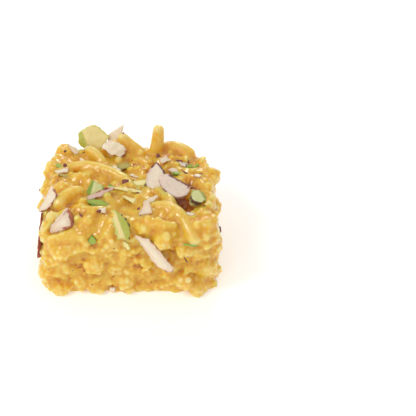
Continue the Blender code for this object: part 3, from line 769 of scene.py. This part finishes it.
beads += [bead for *points, radius in CROWD for bead in strand_beads(*points, radius)]
beads += [(Vector(centre), radius) for centre, radius in LUMPS]
for centre, out, reach in laid:
    behind = centre - out * BACKING["depth"]
    if abs(behind.x) < BACKING["across"] and abs(behind.y) < BACKING["back"]:
        beads.append((behind, BACKING["radius"]))
for _ in range(ROUND_ENDS["tries"]):
    point = Vector((chance.uniform(*ROUND_ENDS["across"]), chance.uniform(*ROUND_ENDS["back"]), 0))
    size = chance.uniform(*ROUND_ENDS["radius"])
    point.z = HEIGHT + ROUND_ENDS["top"] - 0.8 * size + chance.uniform(*ROUND_ENDS["lift"])
    if over_block(point) and not hides_nut(point, size):
        beads.append((point, size))


def add_beads(piece, beads, rings):
    """Joins a ball for every bead to the piece's mesh."""
    bpy.ops.object.select_all(action="DESELECT")
    bpy.ops.mesh.primitive_ico_sphere_add(subdivisions=rings, radius=MM)
    ball = bpy.context.object
    points = np.array([v.co for v in ball.data.vertices])
    faces = np.array([face.vertices for face in ball.data.polygons])
    centres = np.array([centre for centre, radius in beads])[:, None, :] * MM
    radii = np.array([radius for centre, radius in beads])[:, None, None]
    starts = np.arange(len(beads))[:, None, None] * len(points)
    ball.data.clear_geometry()
    ball.data.from_pydata((centres + radii * points).reshape(-1, 3), [],
                          (faces + starts).reshape(-1, 3))
    piece.select_set(True)
    bpy.context.view_layer.objects.active = piece
    bpy.ops.object.join()


add_beads(mass, beads, 2)
remesh(mass, MASS_VOXEL)

# The gaps, and the air in front of each nut
for place, radius in GAPS:
    bpy.ops.object.select_all(action="DESELECT")
    bpy.ops.mesh.primitive_ico_sphere_add(subdivisions=3, radius=radius * MM,
                                          location=Vector(place) * MM)
    air_blocks.append(bpy.context.object)
cut_out(mass, air_blocks)

# The strands that lie on top come last, half sunk in, and are pressed together with the rest
lying = [bead for *points, radius in STRANDS for bead in strand_beads(*points, radius)]
lying = [(point, size) for point, size in lying if not hides_nut(point, 0.5 * size)]
add_beads(mass, lying, 3)
remesh(mass, MASS_VOXEL)
soften(mass, 6)


def finder(beads):
    """A search tree of the beads' middles."""
    found = KDTree(len(beads))
    for index, (point, size) in enumerate(beads):
        found.insert(point, index)
    found.balance()
    return found


nearest_lying = finder(lying)


def on_strand(point):
    """1 on a strand that lies on top, and 0 from half a millimetre outside it."""
    place, index, away = nearest_lying.find(point)
    return max(0, min(1, (lying[index][1] + 0.5 - away) / 0.4))


# Grains: the strands' own crumb, in clusters, thick on the cut sides and thin on the wet top
GRAINS_IN_SIDES, GRAINS_ON_TOP = 0.9, 0.08  # the share of the places that are tried
BARE_PATCH, BARE_LEVEL, BARE_SHARE = 4.2, -0.25, 0.25  # their width, noise and share of grains
SMALLEST_GRAIN, GRAIN_RANGE = 0.42, 1.1
SKEWED_SMALL = 2.2  # the power that makes most grains small
GRAIN_SUNK = (0.05, 0.5)  # how deep a grain's middle lies, as a share of its radius
GRAIN_CLEAR = 0.3  # kept between grains and the floor or a nut
WET_EDGE = 1.5  # how far down from the top the few grains go
TOUCHING = 0.85  # of two grains' radii, the least distance between them
GRAIN_CELL = 2  # the grid by which the grains close by are found
UNEVEN = ((0.2, 2.0), (0.15, 0.85))  # of the surface: how deep, and how far apart
SWOLLEN = ((0.45, 5.0),)
SMOOTH_TOP = 0.4  # how uneven the wet top is, next to the sides
SMOOTH_STRAND = 0.8  # how much less uneven the lying strands are

grains, taken = [], {}
normals = [normal.vector.copy() for normal in mass.data.vertex_normals]
order = list(range(len(normals)))
chance.shuffle(order)
for index in order:
    point, normal = mass.data.vertices[index].co / MM, normals[index]
    share = GRAINS_IN_SIDES if point.z < HEIGHT - WET_EDGE else GRAINS_ON_TOP
    if noise.noise(point / BARE_PATCH) < BARE_LEVEL:
        share *= BARE_SHARE
    if (point.z < GRAIN_CLEAR or chance.random() > share * (1 - on_strand(point))
            or hides_nut(point, GRAIN_CLEAR)):
        continue
    size = SMALLEST_GRAIN + GRAIN_RANGE * chance.random() ** SKEWED_SMALL
    cell = tuple(int(c // GRAIN_CELL) for c in point)
    near = [grain for dx in (-1, 0, 1) for dy in (-1, 0, 1) for dz in (-1, 0, 1)
            for grain in taken.get((cell[0] + dx, cell[1] + dy, cell[2] + dz), ())]
    if any((point - other).length < TOUCHING * (size + other_size) for other, other_size in near):
        continue
    taken.setdefault(cell, []).append((point, size))
    grains.append((point - normal * chance.uniform(*GRAIN_SUNK) * size, size))
add_beads(mass, grains, 2)
remesh(mass, GRAIN_VOXEL)

outwards = [normal.vector.copy() for normal in mass.data.vertex_normals]
for vertex, normal in zip(mass.data.vertices, outwards):
    point = vertex.co / MM
    rough = (SMOOTH_TOP if point.z > HEIGHT - 1 else 1) * waves(point, UNEVEN)
    rough = waves(point, SWOLLEN) + rough
    vertex.co += normal * rough * (1 - SMOOTH_STRAND * on_strand(point)) * MM
soften(mass, 2)

with editing():
    bpy.ops.mesh.select_all(action="SELECT")
    bpy.ops.mesh.bisect(plane_co=(0, 0, 0), plane_no=(0, 0, 1), use_fill=True,
                        clear_inner=True, threshold=1e-7)


def relief(mesh, rounds):
    """How far each point stands out of its smoothed surroundings, in millimetres."""
    count = len(mesh.vertices)
    points = np.empty(count * 3)
    mesh.vertices.foreach_get("co", points)
    points = points.reshape(-1, 3) / MM
    normals = np.empty(count * 3)
    mesh.vertex_normals.foreach_get("vector", normals)
    ends = np.empty(len(mesh.edges) * 2, int)
    mesh.edges.foreach_get("vertices", ends)
    ends = ends.reshape(-1, 2)
    degree = np.bincount(ends.ravel(), minlength=count)[:, None]
    smooth = points.copy()
    for _ in range(rounds):
        total = np.empty_like(smooth)
        for axis in range(3):
            total[:, axis] = (np.bincount(ends[:, 0], smooth[ends[:, 1], axis], count)
                              + np.bincount(ends[:, 1], smooth[ends[:, 0], axis], count))
        smooth = 0.5 * smooth + 0.5 * total / degree
    return ((points - smooth) * normals.reshape(-1, 3)).sum(1)


def pour(mesh, rounds, shares):
    """Fills the hollows of a mesh part of the way, as syrup does."""
    outwards = [normal.vector.copy() for normal in mesh.vertex_normals]
    depths = np.minimum(relief(mesh, rounds), 0) * shares
    for vertex, normal, depth in zip(mesh.vertices, outwards, depths):
        vertex.co -= normal * depth * MM


# What the material needs to know of each point: whether it is on a lying strand, how wet it is,
# how much painted shade it takes from the gap that it is in, how far it stands out, and its
# grain's own tone
POURED = (0.15, 0.6)  # the share of each hollow that syrup fills, and how much more when soaked
POUR_ROUNDS = 24  # the rounds of smoothing that show the hollows to fill
SOAKED_BELOW, SOAKED_OVER = 2, 2.5  # soaking starts this far below the top, and grows over this
GAP_FADE = 0.9  # over which the painted shade fades round a gap
BROAD, FINE = 100, 10  # the rounds of smoothing that large and small relief stand out of
BROAD_RANGE, FINE_RANGE = 2.4, 0.36  # from the deepest hollow to the highest crest
PLAIN_TONE = 0.4  # between grains
GRAIN_REACH = 1.15  # how far out of its middle a grain's tone goes, for its radius

spots = np.array([vertex.co / MM for vertex in mass.data.vertices])
strand = np.array([on_strand(vertex.co / MM) for vertex in mass.data.vertices])
soaked = np.clip((spots[:, 2] - HEIGHT + SOAKED_BELOW) / SOAKED_OVER, 0, 1) * (1 - strand)
# Painted shade in and round the gaps where the strands don't meet: full in the deep gap, half in
# the others, fading outwards, and none on the lying strands
painted_gap_shade = np.zeros(len(spots))
for place, radius in GAPS:
    share = 1.0 if (place, radius) in DEEP_GAP else 0.5
    outside = np.linalg.norm(spots - np.array(place), axis=1) - radius
    painted_gap_shade = np.maximum(painted_gap_shade, share * np.clip(1 - outside * share / GAP_FADE, 0, 1))
painted_gap_shade *= 1 - strand
pour(mass.data, POUR_ROUNDS, POURED[0] + POURED[1] * soaked)
# How far each point stands out of its surroundings, broadly and finely: the material paints shade
# into the hollows and a pale highlight onto the crests from these
stands_out = np.clip(0.5 + relief(mass.data, BROAD) / BROAD_RANGE, 0, 1)
crest = np.clip(0.5 + relief(mass.data, FINE) / FINE_RANGE, 0, 1)
nearest_grain = finder(grains)
own_tones = [chance.random() for _ in grains]
tone = np.full(len(spots), PLAIN_TONE)
for vertex in mass.data.vertices:
    place, index, away = nearest_grain.find(vertex.co / MM)
    if away < grains[index][1] * GRAIN_REACH:
        tone[vertex.index] = own_tones[index]
for name, values in (("stands_out", stands_out), ("crest", crest), ("strand", strand),
                     ("soaked", soaked), ("painted_gap_shade", painted_gap_shade), ("tone", tone)):
    store(mass.data, name, values)
mass.data.shade_smooth()

# Milk fudge: light goes some millimetres in and comes out warm yellow. What stands out is painted
# pale, as a painted highlight, and hollows and deep gaps are painted amber to red-brown, as
# painted shade.
# The curds are 0.9 mm apart, as in the real fudge. The syrup over it is smooth, clear and wet, in
# ripples 1.1 mm long.
CLOUDS = 2.0  # across the uneven colour
CURDS, CURD_DEPTH = 0.87, 0.4
CURD_PATCHES = 3.85  # across the patches where the curds show
RIPPLES, RIPPLE_DEPTH = 1.111, 0.15
LIGHT_DEPTH = 5.0  # how far light goes in
SUGAR_MILK_IOR = 1.37
# The broad relief paints shade into the hollows and paler colour onto what stands out, the fine
# relief paints a highlight onto the crests, and the gap mark paints shade into the gaps
SHARES = (("stands_out", 0.65), ("crest", 0.3), ("tone", 0.25), ("strand", 0.04),
          ("soaked", -0.1), ("painted_gap_shade", -0.45))  # how far each makes the colour paler or deeper
# The ramp's red-brown end is painted shade, reached where the hollows and gaps are darkened
FUDGE = ((0.0, "#B8641E"), (0.06, "#C67C1A"), (0.13, "#D8941E"), (0.25, "#E1A825"),
         (0.45, "#E6B735"), (0.65, "#E9C34E"), (0.85, "#EBCD74"), (1.0, "#EED796"))

fudge, tree, shader = new_material("gram flour strands in milk fudge", {
    "Roughness": 0.4, "IOR": SUGAR_MILK_IOR, "Coat Weight": 0.75, "Coat Roughness": 0.06,
    "Subsurface Weight": 1.0, "Subsurface Radius": (1.0, 0.55, 0.25),
    "Subsurface Scale": LIGHT_DEPTH * MM})
where = add_node(tree, "TexCoord")
clouds = add_node(tree, "TexNoise", links={"Vector": where.outputs["Object"]},
                  values={"Scale": 1 / (CLOUDS * MM), "Detail": 5.0, "Roughness": 0.7})
shade = add_node(tree, "Math", {"operation": "MULTIPLY_ADD"}, values={1: 0.5, 2: -0.23},
                 links={0: clouds.outputs["Fac"]})
for name, share in SHARES:
    mark = add_node(tree, "Attribute", {"attribute_name": name})
    shade = add_node(tree, "Math", {"operation": "MULTIPLY_ADD"}, values={1: share},
                     links={0: mark.outputs["Fac"], 2: shade.outputs[0]})
curds = add_node(tree, "TexVoronoi", {"feature": "SMOOTH_F1"},
                 links={"Vector": where.outputs["Object"]},
                 values={"Scale": 1 / (CURDS * MM), "Smoothness": 0.4})
patches = add_node(tree, "TexNoise", links={"Vector": where.outputs["Object"]},
                   values={"Scale": 1 / (CURD_PATCHES * MM), "Detail": 2.0})
sunk = add_node(tree, "MapRange", links={"Value": patches.outputs["Fac"]},
                values={"From Min": 0.42, "From Max": 0.6, "To Min": -0.15, "To Max": -1.0})
crumb = add_node(tree, "Math", {"operation": "MULTIPLY"},
                 links={0: curds.outputs["Distance"], 1: sunk.outputs["Result"]})
shade = add_node(tree, "Math", {"operation": "MULTIPLY_ADD"}, values={1: 0.35},
                 links={0: crumb.outputs[0], 2: shade.outputs[0]})
colour = add_node(tree, "ValToRGB", links={"Fac": shade.outputs[0]}, stops=FUDGE)
tree.links.new(colour.outputs["Color"], shader.inputs["Base Color"])
bump = add_node(tree, "Bump", values={"Strength": 0.5, "Distance": CURD_DEPTH * MM},
                links={"Height": crumb.outputs[0]})
tree.links.new(bump.outputs["Normal"], shader.inputs["Normal"])
ripples = add_node(tree, "TexNoise", links={"Vector": where.outputs["Object"]},
                   values={"Scale": 1 / (RIPPLES * MM), "Detail": 2.0})
film = add_node(tree, "Bump", values={"Strength": 1.0, "Distance": RIPPLE_DEPTH * MM},
                links={"Height": ripples.outputs["Fac"]})
tree.links.new(film.outputs["Normal"], shader.inputs["Coat Normal"])
mass.data.materials.clear()
mass.data.materials.append(fudge)
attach(mass, "root")
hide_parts("burfi_block")


# The small toppings: ends and shavings of the same almonds and pistachios, stuck to the syrup,
# and crumbs of their dark skins. Most lie flat and sink in a little; a few stand on an edge.

CHIP_VOXEL = 0.17
CHIP_TAPER = 0.88
CHIP_SHOWS = 0.6  # how far a chip's face stands out of the mass, as a share of its thickness
SIDES = {  # the way out of each side, and the ways across and up it
    "top": (Vector((0, 0, 1)), Vector((1, 0, 0)), Vector((0, 1, 0))),
    "front": (Vector((0, -1, 0)), Vector((1, 0, 0)), Vector((0, 0, 1))),
    "rear": (Vector((0, 1, 0)), Vector((1, 0, 0)), Vector((0, 0, 1))),
    "left": (Vector((-1, 0, 0)), Vector((0, 1, 0)), Vector((0, 0, 1))),
    "right": (Vector((1, 0, 0)), Vector((0, 1, 0)), Vector((0, 0, 1))),
}
# The parts of the sides where chips are strewn by chance: from where to where, across and up
OPEN = {"top": ((14, 22), (-14, 12)), "rear": ((-20, 18), (4, 20)),
        "right": ((-17, 12), (4, 20)), "left": ((-6, 14), (4, 20))}
crust = surface_of(mass)


def dropped(side, at):
    """Where a crumb pushed in from one side meets the mass."""
    out, across, up = SIDES[side]
    return crust.ray_cast((out * FAR + across * at[0] + up * at[1]) * MM, -out)[0] / MM


def join_up(pieces, name):
    """Makes one piece of many."""
    bpy.ops.object.select_all(action="DESELECT")
    for piece in pieces:
        piece.select_set(True)
    whole = pieces[0]
    bpy.context.view_layer.objects.active = whole
    bpy.ops.object.join()
    whole.name = name
    whole.data.name = name
    return whole


def scatter(name, chips, substance):
    """Makes the chips of one kind, as one piece, each sunk in where its side meets the mass."""
    made = []
    for side, at, length, width, thickness, spin, lean, heading, *breaks in chips:
        chip = carve("chip", dict(
            length=length, width=width, spin=spin, breaks=breaks, thickness=thickness,
            taper=CHIP_TAPER, skins=((chance.uniform(0, 360), 30, 0.12),), ragged=0.35, worn=2),
            CHIP_VOXEL)
        turned = facing(lean, heading)
        lift = turned.to_3x3() @ Vector((0, 0, thickness * CHIP_SHOWS))
        place = dropped(side, at) + lift
        chip.data.transform(Matrix.Translation(place * MM) @ turned)
        made.append(chip)
    whole = join_up(made, name)
    whole.data.materials.clear()
    whole.data.materials.append(substance)
    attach(whole, "root")
    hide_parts("burfi_block")


def strewn(counts, sizes, places=OPEN):
    """Chips at chance places, so many to each side, clear of the larger nuts."""
    made = []
    for (side, (across, up)), count in zip(places.items(), counts):
        out = SIDES[side][0]
        while count:
            at = (chance.uniform(*across), chance.uniform(*up))
            length = chance.uniform(*sizes)
            heading = math.degrees(math.atan2(out.y, out.x)) + chance.uniform(-20, 20)
            lean = chance.uniform(5, 25) if side == "top" else chance.uniform(68, 88)
            spot = dropped(side, at)
            if all((spot - centre).length > length / 2 + max(reach, 2)
                   for centre, _, reach in laid):
                made.append((side, at, length, length * chance.uniform(0.35, 0.7), 0.8,
                             chance.uniform(0, 180), lean, heading,
                             (chance.uniform(0, 360), length * 0.22),
                             (chance.uniform(0, 360), length * 0.3)))
                count -= 1
    return made


# Each chip: its side and place, length, width, thickness, spin, lean, heading, and its breaks
ALMOND_CHIPS = (
    ("top", (-16.6, 15.8), 7.0, 1.8, 0.9, 33, 50, -60),
    ("top", (-20.0, 5.6), 4.4, 2.6, 0.9, 88, 30, -90, (100, 0.5), (-80, 0.8), (10, 1.9)),
    ("top", (12.3, 6.8), 4.0, 2.5, 0.9, 75, 28, -90, (60, 0.7), (-120, 0.7)),
    ("top", (9.2, 10.6), 3.8, 2.6, 1.0, 40, 45, -95, (-60, 0.7), (120, 0.9)),
    ("top", (4.8, -13.4), 5.4, 4.6, 0.8, 10, 42, -95, (-75, 1.3), (20, 1.4), (150, 1.3)),
    ("top", (5.7, -8.4), 5.4, 1.5, 0.9, -62, 42, -80, (28, 2.4), (-152, 2.4)),
    ("front", (-7.1, 23.2), 2.8, 2.0, 0.8, 80, 54, -90, (0, 0.9), (100, 0.6)),
    ("front", (-4.9, 1.6), 2.4, 2.0, 0.8, 0, 76, -90, (100, 0.5), (-20, 0.7)),
    ("top", (14.4, 10.2), 2.8, 2.2, 0.8, 30, 40, -100, (80, 0.8)),
    ("top", (-14.0, 9.6), 2.6, 0.8, 0.6, 60, 25, -90),
    ("top", (-4.4, 6.2), 3.2, 1.0, 0.6, 55, 25, -90),
    ("top", (0.6, 3.4), 3.0, 0.8, 0.6, 70, 25, -90),
    ("top", (16.8, -14.6), 2.8, 1.0, 0.7, 70, 30, -90),
)
scatter("almond_chips", (*ALMOND_CHIPS, *strewn((3, 4, 4, 3), (2.2, 4.4))), sliced)

PISTACHIO_CHIPS = (
    ("top", (-21.0, 8.0), 2.4, 1.2, 0.8, 60, 30, -90),
    ("front", (-9.9, 18.4), 3.0, 2.2, 1.2, 20, 78, -92, (150, 0.9)),
    ("top", (-5.3, -2.3), 2.4, 1.8, 1.0, 40, 30, -90),
    ("front", (16.8, 18.2), 4.4, 0.8, 0.7, 88, 60, -90),
    ("top", (11.9, 6.1), 1.6, 0.9, 0.8, 70, 30, -90),
    ("top", (18.0, 8.6), 2.4, 0.9, 0.8, 120, 25, -90),
)
OPEN_REAR = {**OPEN, "top": ((13, 21), (-4, 12))}
scatter("pistachio_chips", (*PISTACHIO_CHIPS, *strewn((2, 3, 2, 2), (1.6, 3.2), OPEN_REAR)),
        leafy)

SOAKED_CHIPS = (
    ("top", (-19.4, 3.6), 3.2, 1.1, 0.8, 78, 25, -90),
    ("top", (-2.2, 8.4), 4.4, 2.6, 1.4, 85, 28, -90, (20, 1.9), (-80, 0.9)),
    ("top", (-5.8, 7.6), 2.0, 0.9, 0.7, 30, 25, -90),
)

# Pistachio that has lain in the syrup: olive brown, dull and soft
soaked_nut = flesh_and_skin("syrup-soaked pistachio", flesh="#BDAE5C", rim="#968A3C",
                            skin=("#523428", "#7E523E"), roughness=0.4, seep=0.5)
scatter("soaked_pistachio_chips", SOAKED_CHIPS, soaked_nut)

PALE_SHAVINGS = (
    ("top", (-1.0, -3.6), 12.0, 1.1, 0.7, 80, 25, -90),
    ("top", (2.5, -0.6), 5.2, 4.4, 0.8, 70, 14, -90, (100, 1.4), (-30, 1.5), (200, 1.7)),
    ("top", (0.8, -8.0), 6.6, 1.5, 0.8, 62, 28, -90),
    ("front", (-0.6, 17.4), 3.0, 1.2, 0.7, 30, 70, -90),
)
scatter("pistachio_shavings", PALE_SHAVINGS, pale)

SKIN_FLAKES = (
    ("top", (-1.7, 0.5), 2.4, 1.9, 0.5, 0, 30, -90, (90, 0.4)),
    ("top", (10.3, 4.1), 3.0, 1.0, 0.5, 38, 35, -95),
    ("top", (15.6, 3.8), 3.8, 0.7, 0.5, 55, 30, -95),
    ("top", (13.2, 11.4), 3.8, 2.2, 0.6, 20, 40, -100, (-60, 0.5), (100, 0.6), (180, 0.9)),
    ("top", (16.2, 11.8), 1.8, 1.0, 0.6, 70, 30, -100, (0, 0.3)),
    ("top", (15.8, 9.6), 3.2, 0.8, 0.5, 40, 40, -95),
    ("top", (7.2, 13.0), 2.4, 1.6, 0.5, 10, 45, -90, (200, 0.4), (-60, 0.6)),
    ("top", (-19.0, 7.4), 1.2, 0.9, 0.4, 10, 30, -90),
    ("top", (-13.1, -15.2), 2.8, 0.5, 0.4, 28, 30, -90),
    ("top", (-8.2, -13.5), 1.7, 0.8, 0.4, -65, 30, -90),
    ("top", (2.7, -11.9), 1.2, 0.9, 0.4, 0, 30, -90),
    ("top", (-0.4, -7.0), 4.0, 0.35, 0.4, 56, 25, -90),
    ("top", (2.4, -4.7), 1.8, 0.4, 0.3, 75, 25, -90),
    ("front", (15.2, 14.4), 3.8, 0.4, 0.3, 34, 75, -90),
)

# Skin that has come off the nuts: dry, papery and dark, from purple to red-brown
loose_skin = flesh_and_skin("loose nut skin", flesh="#8A4438", rim="#6E3030",
                            skin=("#4C1E26", "#74302E"), roughness=0.45, seep=0.2)
scatter("skin_flakes", (*SKIN_FLAKES, *strewn((2, 3, 3, 3), (1.2, 2.6))), loose_skin)


# The smallest crumbs: dots of skin a fraction of a millimetre across, which come off when the
# nuts are chopped. They stick wherever they fall on the syrup.

# Each dot: its side and place, and its radius
DOTS = (
    ("top", (-19.8, 15.6), 0.45), ("top", (-14.3, 15.1), 0.35), ("top", (-12.8, 10.5), 0.3),
    ("top", (-14.5, -2.1), 0.22), ("top", (-2.8, 17.4), 0.4), ("top", (-0.2, 11.5), 0.25),
    ("top", (0.5, 1.2), 0.3), ("top", (-12.9, 15.1), 0.25), ("front", (0.2, 19.3), 0.35),
    ("front", (-4.0, 16.1), 0.25), ("front", (-12.5, 7.4), 0.2), ("front", (-10.6, 3.4), 0.22),
    ("front", (-15.8, 8.1), 0.15), ("top", (-16.6, 11.0), 0.2), ("top", (8.6, -6.4), 0.2),
    ("top", (13.8, -9.4), 0.2), ("front", (19.0, 17.6), 0.18), ("top", (-17.4, 1.4), 0.2),
)
CHANCE_DOTS = (
    ("top", (-22, 22), (-17, 18), 10), ("rear", (-20, 18), (2, 20), 12),
    ("right", (-17, 12), (2, 20), 10), ("left", (-14, 14), (2, 20), 10),
    ("front", (-20, 22), (2, 18), 6),
)
DOT_SIZES = (0.12, 0.3)
DOT_BLOTCH = 0.4  # across the uneven colour

places = list(DOTS)
for side, across, up, count in CHANCE_DOTS:
    for _ in range(count):
        at = (chance.uniform(*across), chance.uniform(*up))
        places.append((side, at, chance.uniform(*DOT_SIZES)))
crumbs = []
bpy.ops.object.select_all(action="DESELECT")
for side, at, size in places:
    bpy.ops.mesh.primitive_ico_sphere_add(subdivisions=2, radius=size * MM)
    dot = bpy.context.object
    for corner in dot.data.vertices:
        corner.co *= chance.uniform(0.7, 1.3)
    squash = Matrix.Diagonal((chance.uniform(0.8, 1.3), chance.uniform(0.6, 1.0), 0.5, 1))
    turned = SIDES[side][0].to_track_quat("Z", "Y").to_matrix().to_4x4()
    spin = Matrix.Rotation(chance.uniform(0, math.pi), 4, "Z")
    dot.data.transform(Matrix.Translation(dropped(side, at) * MM) @ turned @ spin @ squash)
    crumbs.append(dot)
dots = join_up(crumbs, "skin_dots")

# The same dark skin, in crumbs too small to show more than its uneven colour
dark, tree, shader = new_material("crumbs of nut skin", {"Roughness": 0.5})
where = add_node(tree, "TexCoord")
blotches = add_node(tree, "TexNoise", links={"Vector": where.outputs["Object"]},
                    values={"Scale": 1 / (DOT_BLOTCH * MM)})
colour = add_node(tree, "ValToRGB", links={"Fac": blotches.outputs["Fac"]},
                  stops=((0.0, "#4A1E24"), (1.0, "#84463C")))
tree.links.new(colour.outputs["Color"], shader.inputs["Base Color"])
dots.data.materials.append(dark)
dots.data.shade_smooth()
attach(dots, "root")
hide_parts("burfi_block")
